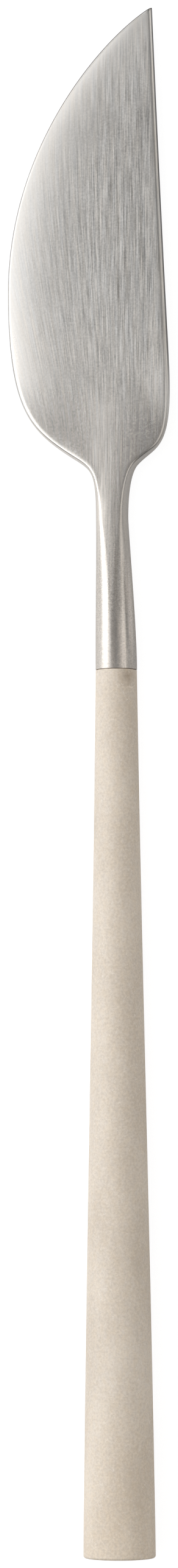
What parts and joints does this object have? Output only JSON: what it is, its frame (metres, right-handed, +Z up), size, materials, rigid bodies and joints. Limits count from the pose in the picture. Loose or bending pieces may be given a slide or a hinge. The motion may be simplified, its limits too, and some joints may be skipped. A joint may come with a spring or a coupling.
{
  "type": "fish knife",
  "caption": "Slim fish knife: forged brushed steel blade with curved belly, straight spine and narrow neck, bonded by its tang into a long round tapered pale resin handle.",
  "frame": {"origin": "on the surface the knife lies on, under the middle of its bounding box, with the knife resting on the underside of its handle and on its belly", "axes": "+Y runs along the knife from the butt to the point, +X points to the straight spine's side, +Z is up, out of the face that is seen"},
  "size_m": [0.0226, 0.21, 0.0097],
  "materials": {
    "steel": "fine lengthwise brushing on the blade, satin crosswise sanding on the neck",
    "resin": "matte ivory cast resin with faint mottling and fine specks",
    "adhesive": "cured, dull, out of sight inside the handle"
  },
  "bodies": {
    "root": {"blade": "steel", "handle": "resin", "tang_adhesive": "adhesive"}
  },
  "joints": []
}
